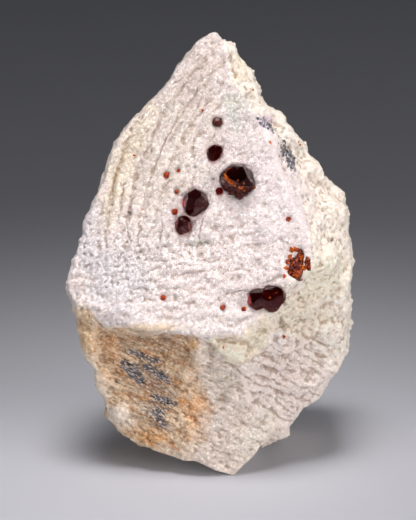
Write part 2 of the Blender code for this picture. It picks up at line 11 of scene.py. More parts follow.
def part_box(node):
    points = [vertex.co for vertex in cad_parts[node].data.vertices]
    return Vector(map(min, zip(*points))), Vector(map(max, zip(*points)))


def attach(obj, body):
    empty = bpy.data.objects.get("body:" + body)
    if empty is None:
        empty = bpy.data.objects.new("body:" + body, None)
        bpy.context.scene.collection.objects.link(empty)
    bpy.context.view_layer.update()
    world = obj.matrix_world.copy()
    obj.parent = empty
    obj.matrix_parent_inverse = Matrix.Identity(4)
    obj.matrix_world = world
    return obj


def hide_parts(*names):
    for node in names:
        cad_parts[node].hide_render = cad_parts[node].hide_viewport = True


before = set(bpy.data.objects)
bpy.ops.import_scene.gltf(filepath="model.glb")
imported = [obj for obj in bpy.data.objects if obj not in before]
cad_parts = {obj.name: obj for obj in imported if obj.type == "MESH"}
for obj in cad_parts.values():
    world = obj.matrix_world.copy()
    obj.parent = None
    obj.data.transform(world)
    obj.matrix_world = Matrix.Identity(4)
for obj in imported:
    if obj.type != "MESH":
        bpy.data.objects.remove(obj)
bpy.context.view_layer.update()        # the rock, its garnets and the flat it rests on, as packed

mm = 0.001
noise.seed_set(3)        # the vector noise would follow the clock without it

# Places on the front are given on a board that leans back: mm to the right of the
# rock's lowest front corner, mm up the board from it, and mm behind the board.
boardLean = math.radians(16)
boardCorner = Vector((7, -30, 0))
boardNormal = Vector((0, -math.cos(boardLean), math.sin(boardLean)))
boardUp = Vector((0, math.sin(boardLean), math.cos(boardLean)))


def boardPlaces(points):
    # across, up and deep, in mm, of points given in metres
    across = points[:, 0] / mm - boardCorner.x
    back = points[:, 1] / mm - boardCorner.y
    height = points[:, 2] / mm
    sine, cosine = math.sin(boardLean), math.cos(boardLean)
    return np.column_stack((across, back * sine + height * cosine, back * cosine - height * sine))


def onBoard(across, up, deep=0.0):
    # the opposite, for one place: a point in metres
    sine, cosine = math.sin(boardLean), math.cos(boardLean)
    place = Vector((across, up * sine + deep * cosine, up * cosine - deep * sine))
    return (place + boardCorner) * mm


def linear(hexColour):
    # an sRGB hex colour as the linear values a shader takes
    values = []
    for start in (1, 3, 5):
        part = int(hexColour[start:start + 2], 16) / 255
        values.append(part / 12.92 if part <= 0.04045 else ((part + 0.055) / 1.055) ** 2.4)
    return (*values, 1.0)


def addNode(tree, kind, inputs=None, **settings):
    # a node with its settings; an input is a value, or another node's socket to link
    node = tree.nodes.new("ShaderNode" + kind)
    for name, value in settings.items():
        setattr(node, name, value)
    for key, value in (inputs or {}).items():
        if isinstance(value, bpy.types.NodeSocket):
            tree.links.new(value, node.inputs[key])
        else:
            node.inputs[key].default_value = value
    return node


def newMaterial(name):
    material = bpy.data.materials.new(name)
    material.use_nodes = True
    return material, material.node_tree, material.node_tree.nodes["Principled BSDF"]


def selectOnly(piece):
    bpy.ops.object.select_all(action="DESELECT")
    piece.select_set(True)
    bpy.context.view_layer.objects.active = piece


def applyModifier(piece, kind, **settings):
    modifier = piece.modifiers.new(kind.lower(), kind)
    for name, value in settings.items():
        setattr(modifier, name, value)
    selectOnly(piece)
    bpy.ops.object.modifier_apply(modifier=modifier.name)


def copyOfNode(nodeName, pieceName):
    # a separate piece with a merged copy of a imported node's mesh, standing for it
    piece = bpy.data.objects.new(pieceName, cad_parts[nodeName].data.copy())
    bpy.context.scene.collection.objects.link(piece)
    piece.data.materials.clear()
    selectOnly(piece)
    bpy.ops.object.mode_set(mode="EDIT")
    bpy.ops.mesh.select_all(action="SELECT")
    bpy.ops.mesh.remove_doubles(threshold=1e-6)
    bpy.ops.object.mode_set(mode="OBJECT")
    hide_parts(nodeName)
    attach(piece, "root")
    return piece


def readPoints(mesh, what="co"):
    values = np.empty(len(mesh.vertices) * 3)
    mesh.vertices.foreach_get(what, values)
    return values.reshape(-1, 3)


def smoothStep(low, high, values):
    share = np.clip((values - low) / (high - low), 0, 1)
    return share * share * (3 - 2 * share)


def insideBy(outline, places):
    # mm inside an outline on the board; outside, less than nothing
    across, up = places[:, 0], places[:, 1]
    inside = np.zeros(len(places), bool)
    nearest = np.full(len(places), 1e9)
    for (x1, y1), (x2, y2) in zip(outline, outline[1:] + outline[:1]):
        wide, tall = x2 - x1, y2 - y1
        if tall:
            crosses = (y1 > up) != (y2 > up)
            inside ^= crosses & (across < wide * (up - y1) / tall + x1)
        along = np.clip(((across - x1) * wide + (up - y1) * tall) / (wide ** 2 + tall ** 2), 0, 1)
        nearest = np.minimum(nearest, np.hypot(across - x1 - along * wide, up - y1 - along * tall))
    return np.where(inside, nearest, -nearest)


rock = {
    "voxel": 0.26,              # mm; fine enough for the larger sugar grains
    "frontTriangles": 150000,
    "backTriangles": 42000,
    "arcCentre": (43, 55),      # the plate's grooves curve round this place on the board
    "bedTurn": -27,             # degrees; the lie of the fibres and ledges of the lower front
    "footOutline": [            # the lowest the rock reaches on the board, from left to right
        (-24.0, 0.0), (-23.0, 7.0), (-13.2, 3.8), (-10.4, 3.8), (-5.5, 1.4), (-0.75, 0.0),
        (0.9, 1.9), (4.1, 4.8), (6.2, 7.8), (7.0, 0.0),
    ],
}
# outlines on the board of the parts of the front that broke differently
zoneOutlines = {
    "plate": [                  # the white plate
        (-5.5, 112.0), (-3.4, 108.8), (-2.2, 105.0), (-1.2, 100.0), (0.8, 96.5), (3.8, 91.5),
        (6.2, 89.5), (9.6, 86.5), (11.0, 83.0), (13.8, 78.0), (15.8, 73.0), (16.3, 68.0),
        (18.2, 60.0), (18.4, 54.0), (16.5, 50.5), (11.0, 44.4), (6.2, 41.2), (1.2, 36.2),
        (-4.2, 34.9), (-10.5, 35.2), (-18.0, 36.4), (-26.8, 37.2), (-33.0, 37.4), (-37.0, 42.0),
        (-43.0, 44.0), (-44.0, 60.0), (-36.0, 90.0), (-14.0, 112.0),
    ],
    "facet": [                  # a smooth cleavage face of the layer under it
        (-4.0, 33.6), (2.4, 33.0), (0.2, 27.9), (-6.2, 30.7),
    ],
    "layer": [                  # the cream layer that shows under the plate
        (-8.4, 36.0), (1.0, 37.0), (6.2, 41.6), (9.6, 38.0), (8.6, 33.4), (6.0, 31.4),
        (1.6, 27.6), (-2.4, 29.6), (-5.6, 32.0),
    ],
    "stained": [                # the rusty face on the left
        (-46.0, 42.0), (-33.0, 38.4), (-20.0, 38.0), (-12.0, 36.6), (-11.0, 32.0), (-10.5, 26.0),
        (-8.5, 21.0), (-7.5, 17.0), (-9.0, 12.0), (-12.0, 8.0), (-15.0, -2.0), (-36.0, 2.0),
        (-46.0, 20.0),
    ],
    "blades": [                 # the shell-like splinters low on the right
        (2.0, 32.0), (8.0, 34.0), (14.0, 36.0), (22.0, 34.0), (26.0, 27.0), (20.0, 17.0),
        (13.0, 12.0), (4.0, 18.0), (0.0, 26.0),
    ],
    "ground": [                 # the fibrous grey face at the bottom
        (-9.4, 33.0), (-2.0, 29.5), (2.0, 27.0), (1.0, 20.0), (8.0, 14.0), (14.0, 11.0),
        (8.0, 2.0), (0.0, -4.0), (-18.0, -2.0), (-14.0, 8.0), (-11.0, 14.0), (-11.0, 24.0),
    ],
}
# mm over which one part's relief, and its colour, pass into the next
reliefBlur = {"plate": 0.35, "facet": 0.2, "layer": 0.35, "stained": 1.6, "blades": 1.5, "ground": 1.5}
colourBlur = {"plate": 0.35, "facet": 0.3, "layer": 0.5, "stained": 3.2, "blades": 3.0, "ground": 3.0}


def zoneWeights(places, facing, zoneBlur):
    # how far each point belongs to each part of the rock, from 0 to 1
    weights = {}
    left = smoothStep(-0.15, 0.25, facing)
    rest = 1 - left
    for name, outline in zoneOutlines.items():
        blur = zoneBlur[name]
        share = smoothStep(-blur, blur, insideBy(outline, places))
        weights[name] = left * share
        left = left * (1 - share)
    weights["flank"] = left + rest
    return weights


def ramp(value, low, high):
    return min(1.0, max(0.0, (value - low) / (high - low)))


def ledges(value, sharp):
    # a run of small ledges, one to each whole number: rises slowly and drops quickly
    phase = value - math.floor(value)
    return phase / (1 - sharp) if phase < 1 - sharp else (1 - phase) / sharp


def footShadeShare(value, sharp):
    # 1 at the foot of such a ledge, 0 away from it; it places painted shade lines along the ledges' feet
    phase = value - math.floor(value)
    return max(0.0, 1 - min(phase / 0.14, (1 - phase) / sharp))


def grains(place, size, tilt):
    # broken grains: each a small face with its own height and its own tilt
    gaps, centres = noise.voronoi(place / size)
    centre = centres[0]
    lean = noise.cell_vector(centre * 31.7) - Vector((0.5, 0.5, 0.5))
    return noise.cell(centre * 17.3) - 0.5 + tilt * lean.dot(place / size - centre) - 0.4 * gaps[0]


def turned(place, degrees):
    # a place on the board with its first direction turned up by so much
    turn = math.radians(degrees)
    across, up, deep = place
    return Vector((
        across * math.cos(turn) + up * math.sin(turn),
        up * math.cos(turn) - across * math.sin(turn), deep))


def stretched(place, times):
    return Vector((place.x / times, place.y, place.z))


def ledgeRuns(place, weights):
    # the runs of ledges here: how far along each run this place is, how high its ledges
    # stand in mm, and how sharply they drop
    across, up, _ = place
    soft = noise.noise(place / 6.0)
    wander = noise.noise(place / 3.1 + Vector((7, 0, 0)))
    bedded = turned(place, rock["bedTurn"])
    runs = []
    if weights["plate"] > 0.01:
        centreAcross, centreUp = rock["arcCentre"]
        radius = math.hypot(across - centreAcross, up - centreUp)
        bend = math.atan2(up - centreUp, across - centreAcross)
        patch = noise.noise(Vector((radius / 3, bend * 9, 0))) + 0.5
        upper = weights["plate"] * ramp(up, 50, 62) * ramp(across, 4, -10)
        runs.append(((radius + 1.6 * wander + 0.6 * soft) / 2.6, 0.5 * upper * max(0.0, patch), 0.25))
        patch = noise.noise(Vector((across / 4, up / 2.0, 3))) + 0.45
        lower = weights["plate"] * ramp(up, 68, 58)
        runs.append(((0.12 * across - up - 1.5 * wander - 1.4 * soft) / 2.6, 0.38 * lower * max(0.0, patch), 0.2))
    if weights["stained"] > 0.01:
        patch = noise.noise(Vector((bedded.x / 5, bedded.y / 2, 5))) + 0.5
        runs.append(((-bedded.y - 1.3 * wander - soft) / 1.9,
                     0.36 * weights["stained"] * max(0.0, patch), 0.3))
    if weights["blades"] > 0.01:
        along = turned(place, -29)
        patch = noise.noise(Vector((along.x / 5.5, along.y / 2.2, 7))) + 0.55
        runs.append(((-along.y - 0.7 * wander - 1.2 * soft) / 2.3,
                     0.7 * weights["blades"] * max(0.0, patch), 0.22))
    if weights["ground"] > 0.01:
        patch = noise.noise(Vector((bedded.x / 5, bedded.y / 1.6, 1))) + 0.35
        runs.append(((-bedded.y - 1.2 * wander) / 1.5,
                     0.3 * weights["ground"] * max(0.0, patch), 0.25))
    return runs


def rockHeight(place, weights):
    # how far the surface stands out of the plain form here, in mm
    across, up, deep = place
    soft = noise.noise(place / 6.0)
    fine = grains(place, 0.75, 1.8)
    lumps = 0.5 - noise.voronoi(place / 2.4)[0][0]
    bedded = turned(place, rock["bedTurn"])
    height = sum(high * ledges(value, sharp) for value, high, sharp in ledgeRuns(place, weights))
    if weights["plate"] > 0.01:
        calm = max(0.25, ramp(up - 0.25 * across, 38, 47))       # the smooth band at the bottom
        sugary = ramp(across, -6, -18) * ramp(up, 66, 58) * ramp(up, 42, 48)
        scales = grains(stretched(turned(place, 18), 1.7), 1.5, 1.5)
        height += weights["plate"] * (
            0.3 + 0.3 * soft
            + calm * (0.04 * lumps + 0.08 * scales + (0.09 + 0.06 * sugary) * fine))
    if weights["flank"] > 0.01:
        knobbly = ramp(up, 56, 44) * ramp(up, 24, 32)
        knobs = 0.5 - noise.voronoi(place / 1.25)[0][0]
        chips = grains(place, 2.1, 1.2)
        height += weights["flank"] * (
            0.18 * lumps + 0.35 * soft + 0.19 * fine + 0.13 * chips + 0.75 * knobbly * knobs)
    if weights["facet"] > 0.01:
        height += weights["facet"] * (0.55 + 0.05 * (up - 31))
    if weights["layer"] > 0.01:
        knobs = 0.5 - noise.voronoi(place / 1.3)[0][0]
        height += weights["layer"] * (0.2 + 0.45 * knobs + 0.3 * lumps + 0.1 * fine)
    if weights["stained"] > 0.01:
        chips = grains(stretched(bedded, 1.8), 1.3, 1.2)
        height += weights["stained"] * (0.10 * lumps + 0.15 * fine + 0.18 * chips)
    if weights["blades"] > 0.01:
        along = turned(place, -29)
        splinters = grains(stretched(along, 4.5), 1.5, 1.5)
        slivers = grains(stretched(along, 5.0), 0.7, 1.2)
        height += weights["blades"] * (0.3 * splinters + 0.16 * slivers + 0.3 * soft + 0.05 * fine)
    if weights["ground"] > 0.01:
        fibre = noise.noise(Vector((bedded.x / 4.5, bedded.y / 0.7, deep / 3)))
        chips = grains(stretched(bedded, 4.0), 0.8, 1.3)
        height += weights["ground"] * (0.24 * fibre + 0.06 * lumps + 0.09 * fine + 0.15 * chips)
    return height


def calmRoundGarnets(points):
    # 0 at a garnet and 1 away from it, so that no grain buries a crystal
    calm = np.ones(len(points))
    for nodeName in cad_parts:
        if nodeName.startswith("garnet"):
            low, high = (Vector(corner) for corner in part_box(nodeName))
            centre, radius = (low + high) / 2, (high - low).length / 3.46
            gap = np.linalg.norm(points - np.array(centre), axis=1)
            calm = np.minimum(calm, smoothStep(radius, radius + 0.9 * mm, gap))
    return calm


def sculptRock(piece):
    # gives the remeshed rock its grain, ledges, fibres and splinters
    mesh = piece.data
    points, normals = readPoints(mesh), readPoints(mesh, "normal")
    places = boardPlaces(points)
    zones = zoneWeights(places, normals @ np.array(boardNormal), reliefBlur)
    names = list(zones)
    table = np.column_stack([zones[name] for name in names]).tolist()
    heights = np.array([
        rockHeight(Vector(place), dict(zip(names, row))) for place, row in zip(places.tolist(), table)])
    heights *= smoothStep(0.0, 1.2, points[:, 2] / mm)       # the face it rests on stays flat
    heights *= calmRoundGarnets(points)
    points += normals * (heights * mm)[:, None]
    # the foot narrows to a corner: what hangs below its outline is drawn up to it
    places = boardPlaces(points)
    lowest = np.interp(places[:, 0], *zip(*rock["footOutline"]))
    lift = np.maximum(0, lowest - places[:, 1]) * smoothStep(22, 12, places[:, 2])
    points += np.outer(lift * mm, boardUp)
    mesh.vertices.foreach_set("co", points.ravel())
    mesh.update()


def thinOut(piece, triangles, front):
    # fewer triangles on one side of the rock, keeping its form
    mesh = piece.data
    facing = readPoints(mesh, "normal") @ np.array(boardNormal)
    chosen = facing > -0.2 if front else facing <= -0.2
    selectOnly(piece)
    bpy.ops.object.mode_set(mode="EDIT")
    bpy.ops.mesh.select_mode(type="VERT")
    bpy.ops.mesh.select_all(action="DESELECT")
    bpy.ops.object.mode_set(mode="OBJECT")
    mesh.vertices.foreach_set("select", chosen)
    bpy.ops.object.mode_set(mode="EDIT")
    bpy.ops.mesh.decimate(ratio=min(1.0, triangles / (2 * chosen.sum())))
    bpy.ops.object.mode_set(mode="OBJECT")


rockPiece = copyOfNode("matrix", "rock")
applyModifier(rockPiece, "REMESH", mode="VOXEL", voxel_size=rock["voxel"] * mm)
print("rock remeshed:", len(rockPiece.data.polygons), "faces")
sculptRock(rockPiece)
thinOut(rockPiece, rock["frontTriangles"], True)
thinOut(rockPiece, rock["backTriangles"], False)
applyModifier(rockPiece, "TRIANGULATE")
selectOnly(rockPiece)
bpy.ops.object.shade_smooth()
print("rock sculpted:", len(rockPiece.data.polygons), "triangles")

zoneColours = {
    "plate": "#ECE0DC",
    "facet": "#FFF0D8",
    "layer": "#FAE8D0",
    "stained": "#E8CCAA",
    "blades": "#EFE1D9",
    "ground": "#E4D5C8",
    "flank": "#FCEEE0",
}
# soft washes of colour laid over the front, a few of them painted shade: place on the board, half width,
# # half height, turn in degrees, colour, strength
colourAndShadeWashes = [
    # the plate: cream above on the left, greyer where it is sugary, pink to the right
    (-21, 82, 14, 26, -32, "#E8DCCF", 0.7), (-29, 76, 3.5, 20, -22, "#EEDFC6", 0.7),
    (-9, 100, 6, 9, -10, "#E6D6C9", 0.6), (-11, 96, 3.5, 5, 20, "#CFC3BC", 0.6),
    (-30, 50, 10, 9, 10, "#E0DDE0", 0.7), (-37, 61, 4, 10, -12, "#E2DEE4", 0.6),
    (-22, 58, 8, 7, 0, "#DFD8D4", 0.5), (8, 68, 12, 16, 0, "#ECE1E1", 0.6),
    (-12, 38.5, 22, 3, 2, "#EFE5E1", 0.7), (-24, 37.2, 12, 1.2, 3, "#E9CFA8", 0.7),
    (-38, 40.5, 2.0, 3.2, 28, "#E6C79C", 0.7), (0, 93.5, 4.5, 4.5, 0, "#D0D1C6", 0.6),
    (-1, 89.5, 3, 4.5, 20, "#D3D6CB", 0.6), (7, 88.5, 2.6, 1.8, 0, "#E2D2DE", 0.8),
    (-9.5, 58.6, 3.6, 0.9, 0, "#B7BDB0", 0.6), (7.2, 67.8, 1.5, 0.5, -35, "#8C8A70", 0.8),
    (-9.3, 79, 1.6, 0.35, 12, "#6E6A66", 0.85), (-29.5, 77.5, 0.5, 5, -20, "#B89A6E", 0.75),
    (8.5, 66, 4.6, 3.2, 25, "#F2E9E7", 0.6), (-4.8, 97.8, 2.0, 3.4, -5, "#EBE2DE", 0.8),
    # the right flank: yellow low down, deeper between the knobs, and painted shade in the crevice under the garnet
    # pair
    (22, 50, 8, 6, 20, "#FFF2DA", 0.85), (15, 41, 8, 7, 0, "#F3E6CF", 0.7),
    (2, 105, 3, 10, -20, "#F6E8CE", 0.6), (19, 88, 6, 9, -30, "#F8EFE2", 0.5),
    # first here: a dark patch, painted shade in the crevice under the garnet pair
    (11.2, 38.6, 0.9, 2.2, 15, "#94826A", 0.75), (10, 34, 2.6, 2.4, -35, "#F1E8E6", 0.8),
    (23, 31, 6, 4, 30, "#FBF2E4", 0.6), (5, 35, 3.2, 4, 0, "#F3EBD6", 0.6),
    # the rusty face: rust brown under the plate with the ledge's shadow painted in, orange, grey-brown streaks, pale
    # rims
    # first here: rust brown darkened by a painted shadow right under the plate's ledge
    (-23, 33.4, 10, 2.0, 2, "#94724E", 0.7), (-19, 31, 7, 3, -20, "#C8A680", 0.6),
    (-25, 27, 9, 6, -30, "#D6AA74", 0.6), (-21, 23, 7, 4, -25, "#B49C84", 0.6),
    (-10.5, 17, 4.5, 5, -50, "#EFBF8C", 0.85), (-22, 10.5, 7, 2.6, -30, "#DAA45E", 0.85),
    (-11.5, 33, 1.6, 2.4, -50, "#EAB878", 0.85), (-20, 15, 5, 3.4, -35, "#B4A494", 0.7),
    (-35.5, 24, 3.4, 12, 12, "#F4E4D0", 0.85), (-29, 15, 5, 3.4, -30, "#F0E4D6", 0.85),
    (-37, 35, 3, 6, 8, "#EBCBA0", 0.8), (-16, 5.5, 5, 2, -25, "#EEE0D0", 0.6),
    (-14, 28, 3, 6, -10, "#D8BC9C", 0.7), (-31, 31, 3, 4, 0, "#DDB482", 0.6),
    # the grey face at the bottom: paler below
    (-4, 24, 5, 5, -30, "#CBC1B3", 0.6), (3, 8, 4, 7, -25, "#EBE1D2", 0.7),
    (6, 13, 5, 3, 35, "#F2E9DB", 0.7), (-6, 14, 5, 2.4, -30, "#E2D8D0", 0.6),
]
# clean stone in the rusty face: its rims, in ellipses as above
cleanSpots = [(-36.5, 25, 4.6, 15, 12), (-16, 5.0, 7, 2.4, -25), (-29, 14.5, 4.6, 3, -30)]
# near-black spots painted as the shade inside small pits: place on the board and radius, in mm
pitShadeSpots = [(-26.8, 65.9, 0.55), (23.6, 59.3, 0.5), (-5.8, 74.3, 0.3), (-10.5, 77.5, 0.4), (-29.8, 23.8, 0.6)]
# grey metallic flakes: place, half width, half height, turn, strength
flakes = [
    (-26, 31.0, 4.6, 1.3, -15, 0.9), (-26.6, 26.8, 5.4, 1.7, -47, 1.0), (-19.5, 25.4, 4.4, 1.8, -36, 1.0),
    (-21, 29.4, 2.8, 1.1, -20, 0.9), (-19, 19.2, 4.4, 1.0, -17, 1.0), (-19.4, 15.6, 3.8, 1.9, -55, 0.9),
    (-24, 26, 8, 5, -35, 0.45), (-20, 17, 5, 4, -35, 0.45),         # stray ones round them
    (7.2, 88.2, 3.2, 1.1, -33, 1.0), (12.8, 80.0, 4.4, 2.0, -62, 1.0),
]


def ellipseShare(places, ragged, across, up, halfWidth, halfHeight, turn):
    # 1 in the middle of a ragged-edged ellipse on the board, 0 outside it
    turn = math.radians(turn)
    x, y = places[:, 0] - across, places[:, 1] - up
    along = (x * math.cos(turn) + y * math.sin(turn)) / halfWidth
    athwart = (y * math.cos(turn) - x * math.sin(turn)) / halfHeight
    return smoothStep(1.25, 0.45, np.hypot(along, athwart) + ragged)


def hollowness(mesh, points, normals):
    # how far each point lies below its neighbours, in mm, smoothed a little
    ends = np.empty(len(mesh.edges) * 2, int)
    mesh.edges.foreach_get("vertices", ends)
    one, other = ends.reshape(-1, 2).T
    count = len(points)
    degree = np.bincount(one, minlength=count) + np.bincount(other, minlength=count)

    def neighbourMean(values):
        total = np.bincount(one, values[other], count) + np.bincount(other, values[one], count)
        return total / degree

    blurred = points
    for _ in range(3):
        blurred = np.column_stack([neighbourMean(blurred[:, axis]) for axis in range(3)])
    hollow = ((blurred - points) * normals).sum(axis=1) / mm
    return 0.5 * hollow + 0.5 * neighbourMean(hollow)


def paintRock(piece):
    # "tint" holds the stone's colour, with painted shade in pits and one crevice; "mask" holds painted shade
    #     # in hollows and at ledge feet, rust, metallic flakes and fibres
    mesh = piece.data
    points, normals = readPoints(mesh), readPoints(mesh, "normal")
    places = boardPlaces(points)
    facing = normals @ np.array(boardNormal)
    front = smoothStep(-0.2, 0.2, facing)
    coarse = np.array([noise.noise_vector(Vector(place) / 3.0) for place in places.tolist()])
    small = np.array([noise.noise_vector(Vector(place) / 0.8) for place in places.tolist()])
    strays = 2.4 * coarse + 0.9 * small
    strays *= 0.15 + 0.85 * smoothStep(38, 34, places[:, 1])[:, None]       # the plate's edge is crisp
    zones = zoneWeights(places + strays, facing, colourBlur)
    relief = zoneWeights(places, facing, reliefBlur)
    ragged = 0.55 * coarse[:, 0] + 0.25 * small[:, 0]
    tint = sum(zones[name][:, None] * np.array(linear(zoneColours[name])[:3]) for name in zones)
    for across, up, halfWidth, halfHeight, turn, colour, strength in colourAndShadeWashes:
        share = front * strength * ellipseShare(places, ragged, across, up, halfWidth, halfHeight, turn)
        tint += share[:, None] * (np.array(linear(colour)[:3]) - tint)
    # painted shade: the pits darkened nearly to black
    for across, up, radius in pitShadeSpots:
        share = front * smoothStep(1.2, 0.6, np.hypot(places[:, 0] - across, places[:, 1] - up) / radius)
        tint += share[:, None] * (np.array(linear("#2A2420")[:3]) - tint)
    metallic = np.zeros(len(points))
    for across, up, halfWidth, halfHeight, turn, strength in flakes:
        share = strength * ellipseShare(places, ragged, across, up, halfWidth, halfHeight, turn)
        metallic = np.maximum(metallic, front * share)
    rust = zones["stained"].copy()
    for spot in cleanSpots:
        rust *= 1 - 0.85 * ellipseShare(places, ragged, *spot)
    names = list(relief)
    table = np.column_stack([relief[name] for name in names]).tolist()
    # painted shade lines along the feet of the ledges
    footShadeLines = np.array([
        sum(high * footShadeShare(value, sharp) for value, high, sharp in
            ledgeRuns(Vector(place), dict(zip(names, row))))
        for place, row in zip(places.tolist(), table)])
    # painted shade: darker in hollows and at the feet of ledges
    hollow = np.clip(0.5 + 3 * hollowness(mesh, points, normals) + 0.85 * footShadeLines, 0, 1)
    fibrous = zones["ground"] + 0.7 * zones["blades"]
    ones = np.ones(len(points))
    for name, columns in (("tint", (*tint.T, ones)), ("mask", (hollow, rust, metallic, fibrous))):
        layer = mesh.color_attributes.new(name, "FLOAT_COLOR", "POINT")
        layer.data.foreach_set("color", np.column_stack(columns).astype(np.float32).ravel())


paintRock(rockPiece)
print("rock painted")

# Albite feldspar, freshly broken: a mass of white grains of half a millimetre, each with
# its own flat face, so that some glint and others are in shade; rust and fine dark
# flakes lie between them
# the colour also carries painted light: a painted glint on a few grains, painted shade in the seams, in hollows and
# at the feet of ledges
grain = {"size": 0.5, "tilt": 0.42, "fineSize": 0.25}
albite, tree, surface = newMaterial("broken albite feldspar")
place = addNode(tree, "TexCoord").outputs["Object"]
inMm = addNode(tree, "Mapping", {"Vector": place, "Scale": (1000, 1000, 1000)}).outputs["Vector"]
# the same turned to lie along the beds of the lower front, and stretched along them
bedTurn = Matrix.Rotation(-boardLean, 3, "X") @ Matrix.Rotation(math.radians(-rock["bedTurn"]), 3, "Y")
alongBeds = addNode(tree, "Mapping", {
    "Vector": inMm, "Rotation": bedTurn.to_euler(), "Scale": (3.0, 1.0, 1.0)},
    vector_type="TEXTURE").outputs["Vector"]
tint = addNode(tree, "Attribute", attribute_name="tint").outputs["Color"]
masks = addNode(tree, "Attribute", attribute_name="mask").outputs
mask = addNode(tree, "SeparateColor", {"Color": masks["Color"]}).outputs
cells = addNode(tree, "TexVoronoi", {"Vector": inMm, "Scale": 1 / grain["size"]}).outputs
seams = addNode(tree, "TexVoronoi", {"Vector": inMm, "Scale": 1 / grain["size"]},
                feature="DISTANCE_TO_EDGE").outputs["Distance"]
cellValues = addNode(tree, "SeparateColor", {"Color": cells["Color"]}).outputs
mottle = addNode(tree, "TexNoise", {"Vector": inMm, "Scale": 0.45, "Detail": 3.0}).outputs["Fac"]
fleck = addNode(tree, "TexNoise", {
    "Vector": alongBeds, "Scale": 2.4, "Detail": 3.0, "Roughness": 0.7}).outputs["Fac"]
blotch = addNode(tree, "TexNoise", {
    "Vector": alongBeds, "Scale": 0.5, "Detail": 4.0, "Roughness": 0.7}).outputs["Fac"]
streak = addNode(tree, "TexNoise", {
    "Vector": alongBeds, "Scale": 1.3, "Detail": 4.0, "Roughness": 0.8}).outputs["Fac"]

# each grain a little lighter or darker, a few with a painted glint, and painted shade in the seams and hollows
lightness = addNode(tree, "MapRange", {
    "Value": cellValues["Red"], "To Min": 0.92, "To Max": 1.13}).outputs["Result"]
glint = addNode(tree, "MapRange", {
    "Value": cellValues["Blue"], "From Min": 0.86, "From Max": 0.94, "To Max": 0.22}).outputs["Result"]
lightness = addNode(tree, "Math", {0: lightness, 1: glint}, operation="ADD").outputs[0]
mottling = addNode(tree, "MapRange", {
    "Value": mottle, "From Min": 0.3, "From Max": 0.7, "To Min": 0.94, "To Max": 1.06}).outputs["Result"]
seamShade = addNode(tree, "MapRange", {
    "Value": seams, "From Max": 0.12, "To Min": 0.84, "To Max": 1.0}).outputs["Result"]
fibreShade = addNode(tree, "MapRange", {
    "Value": streak, "From Min": 0.35, "From Max": 0.65, "To Min": -0.2, "To Max": 0.16}).outputs["Result"]
fibreShade = addNode(tree, "Math", {0: fibreShade, 1: masks["Alpha"], 2: 1.0}, operation="MULTIPLY_ADD").outputs[0]
shade = lightness
for factor in (mottling, seamShade, fibreShade):
    shade = addNode(tree, "Math", {0: shade, 1: factor}, operation="MULTIPLY").outputs[0]
stone = addNode(tree, "VectorMath", {0: tint, "Scale": shade}, operation="SCALE").outputs["Vector"]
stone = addNode(tree, "VectorMath", {0: stone, 1: (0.95,) * 3}, operation="MINIMUM").outputs["Vector"]
# painted shade in hollows and at ledge feet: a brown multiplied into the colour
hollowShadeShare = addNode(tree, "MapRange", {
    "Value": mask["Red"], "From Min": 0.57, "From Max": 1.0, "To Max": 0.7}).outputs["Result"]
colour = addNode(tree, "Mix", {"Factor": hollowShadeShare, "A": stone, "B": linear("#A8927C")},
                 data_type="RGBA", blend_type="MULTIPLY").outputs["Result"]
# rust in blotches along the beds, then fine dark specks and pale ones
rustLayers = [
    (blotch, 0.47, 0.60, "MULTIPLY", "#D8A456", 0.8),
    (fleck, 0.56, 0.66, "MIX", "#6A5038", 0.6),
    (fleck, 0.47, 0.37, "MIX", "#F2E6D4", 0.8),
]
for pattern, start, full, blend, hexColour, most in rustLayers:
    share = addNode(tree, "MapRange", {
        "Value": pattern, "From Min": start, "From Max": full, "To Max": most}).outputs["Result"]
    share = addNode(tree, "Math", {0: share, 1: mask["Green"]}, operation="MULTIPLY").outputs[0]
    colour = addNode(tree, "Mix", {"Factor": share, "A": colour, "B": linear(hexColour)},
                     data_type="RGBA", blend_type=blend).outputs["Result"]
# grey metallic flakes: thick in the middle of each patch, thinning out to its edge
patchy = addNode(tree, "TexNoise", {
    "Vector": inMm, "Scale": 1.3, "Detail": 3.0, "Roughness": 0.65}).outputs["Fac"]
patchy = addNode(tree, "Mix", {"Factor": mask["Green"], "A": patchy, "B": fleck}).outputs["Result"]
flakeShare = addNode(tree, "Math", {0: mask["Blue"], 1: 0.24, 2: patchy}, operation="MULTIPLY_ADD").outputs[0]
flakeShare = addNode(tree, "MapRange", {
    "Value": flakeShare, "From Min": 0.645, "From Max": 0.70}).outputs["Result"]
inPatch = addNode(tree, "MapRange", {"Value": mask["Blue"], "From Max": 0.2}).outputs["Result"]
flakeShare = addNode(tree, "Math", {0: flakeShare, 1: inPatch}, operation="MULTIPLY").outputs[0]
flakeValues = addNode(tree, "SeparateColor", {
    "Color": addNode(tree, "TexVoronoi", {"Vector": alongBeds, "Scale": 2.6}).outputs["Color"]}).outputs
flakeShade = addNode(tree, "MapRange", {
    "Value": flakeValues["Red"], "To Min": 0.1, "To Max": 1.9}).outputs["Result"]
flakeColour = addNode(tree, "VectorMath", {
    0: linear("#5C5D64")[:3], "Scale": flakeShade}, operation="SCALE").outputs["Vector"]
finished = addNode(tree, "Mix", {"Factor": flakeShare, "A": colour, "B": flakeColour},
                   data_type="RGBA").outputs["Result"]
tree.links.new(finished, surface.inputs["Base Color"])
# some grains are smooth enough to glint
roughness = addNode(tree, "MapRange", {
    "Value": cellValues["Green"], "To Min": 0.28, "To Max": 0.85}).outputs["Result"]
tree.links.new(roughness, surface.inputs["Roughness"])
